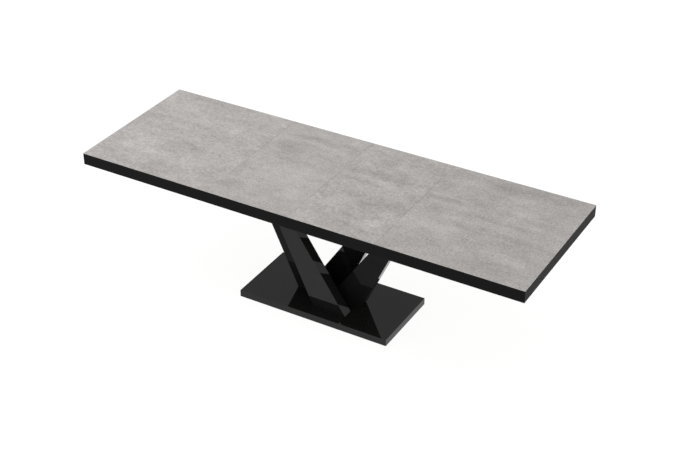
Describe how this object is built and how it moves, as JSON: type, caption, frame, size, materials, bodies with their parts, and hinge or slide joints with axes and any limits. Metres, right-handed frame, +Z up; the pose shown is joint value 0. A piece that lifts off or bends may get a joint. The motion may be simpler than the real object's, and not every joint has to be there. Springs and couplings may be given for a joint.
{
  "type": "extendable dining table",
  "caption": "Pedestal dining table with crossed leaning boards on a base plate and a concrete-look top that extends on geared slides for loose leaves.",
  "frame": {"origin": "on the floor, under the middle of the table", "axes": "+X along the table's length, +Y across it towards the back, +Z up"},
  "size_m": [2.6, 0.89, 0.782],
  "materials": {
    "black_gloss_lacquer": "gloss",
    "black_apron_board": "satin",
    "concrete_laminate": "matte",
    "core_board": "matte",
    "beech": "satin",
    "slide_aluminium": "satin",
    "zinc_steel": "satin",
    "white_nylon": "matte",
    "black_plastic": "matte"
  },
  "bodies": {
    "pedestal": {"base_glides": "black_plastic", "base_plate": "black_gloss_lacquer", "bearer_left_inner": "beech", "bearer_left_outer": "beech", "bearer_right_inner": "beech", "bearer_right_outer": "beech", "bearer_screws": "zinc_steel", "centre_rail_back": "slide_aluminium", "centre_rail_front": "slide_aluminium", "leg_back": "black_gloss_lacquer", "leg_bolts": "zinc_steel", "leg_front": "black_gloss_lacquer", "leg_inserts": "zinc_steel", "leg_middle_left": "black_gloss_lacquer", "leg_middle_right": "black_gloss_lacquer", "pinion_pins": "zinc_steel", "rail_screws": "zinc_steel"},
    "left_half": {"left_apron_back": "black_apron_board", "left_apron_end": "black_apron_board", "left_apron_front": "black_apron_board", "left_lock_pivots": "zinc_steel", "left_racks": "white_nylon", "left_runner_back": "slide_aluminium", "left_runner_front": "slide_aluminium", "left_runner_packers": "black_plastic", "left_runner_screws": "zinc_steel", "left_stop_blocks": "black_plastic", "left_top_core": "core_board", "left_top_skin": "concrete_laminate"},
    "right_half": {"right_apron_back": "black_apron_board", "right_apron_end": "black_apron_board", "right_apron_front": "black_apron_board", "right_lock_pivots": "zinc_steel", "right_racks": "white_nylon", "right_runner_back": "slide_aluminium", "right_runner_front": "slide_aluminium", "right_runner_packers": "black_plastic", "right_runner_screws": "zinc_steel", "right_stop_blocks": "black_plastic", "right_top_core": "core_board", "right_top_skin": "concrete_laminate"},
    "left_leaf": {"left_leaf_apron_back": "black_apron_board", "left_leaf_apron_front": "black_apron_board", "left_leaf_core": "core_board", "left_leaf_saddles": "black_plastic", "left_leaf_skin": "concrete_laminate", "left_leaf_studs": "zinc_steel"},
    "right_leaf": {"right_leaf_apron_back": "black_apron_board", "right_leaf_apron_front": "black_apron_board", "right_leaf_core": "core_board", "right_leaf_saddles": "black_plastic", "right_leaf_skin": "concrete_laminate", "right_leaf_studs": "zinc_steel"},
    "pinion_front": {"pinion_front": "white_nylon"},
    "pinion_back": {"pinion_back": "white_nylon"},
    "left_lock_front": {"left_lock_hook_front": "zinc_steel"},
    "left_lock_back": {"left_lock_hook_back": "zinc_steel"},
    "right_lock_front": {"right_lock_hook_front": "zinc_steel"},
    "right_lock_back": {"right_lock_hook_back": "zinc_steel"}
  },
  "joints": [
    {"name": "left_half_slide", "type": "slide", "parent": "pedestal", "child": "left_half", "axis": [-1, 0, 0], "range_m": [0, 0.04]},
    {"name": "right_half_slide", "type": "slide", "parent": "pedestal", "child": "right_half", "axis": [1, 0, 0], "range_m": [0, 0.04]},
    {"name": "left_leaf_lift", "type": "slide", "parent": "pedestal", "child": "left_leaf", "axis": [0, 0, 1], "range_m": [0, 0.25]},
    {"name": "right_leaf_lift", "type": "slide", "parent": "pedestal", "child": "right_leaf", "axis": [0, 0, 1], "range_m": [0, 0.25]},
    {"name": "pinion_front_spin", "type": "hinge", "parent": "pedestal", "child": "pinion_front", "pos_m": [0, -0.26, 0.747], "axis": [0, 0, 1], "range_deg": [-170, 0]},
    {"name": "pinion_back_spin", "type": "hinge", "parent": "pedestal", "child": "pinion_back", "pos_m": [0, 0.26, 0.747], "axis": [0, 0, 1], "range_deg": [-170, 0]},
    {"name": "left_lock_front_swivel", "type": "hinge", "parent": "left_half", "child": "left_lock_front", "pos_m": [-0.538, -0.38, 0.7525], "axis": [0, 0, -1], "range_deg": [0, 90]},
    {"name": "left_lock_back_swivel", "type": "hinge", "parent": "left_half", "child": "left_lock_back", "pos_m": [-0.538, 0.38, 0.7525], "axis": [0, 0, 1], "range_deg": [0, 90]},
    {"name": "right_lock_front_swivel", "type": "hinge", "parent": "right_half", "child": "right_lock_front", "pos_m": [0.538, -0.38, 0.7525], "axis": [0, 0, 1], "range_deg": [0, 90]},
    {"name": "right_lock_back_swivel", "type": "hinge", "parent": "right_half", "child": "right_lock_back", "pos_m": [0.538, 0.38, 0.7525], "axis": [0, 0, -1], "range_deg": [0, 90]}
  ],
  "couplings": [
    {"joint": "right_half_slide", "follows": "left_half_slide", "ratio": 1},
    {"joint": "pinion_front_spin", "follows": "left_half_slide", "rad_per_m": -71.429},
    {"joint": "pinion_back_spin", "follows": "left_half_slide", "rad_per_m": -71.429}
  ]
}
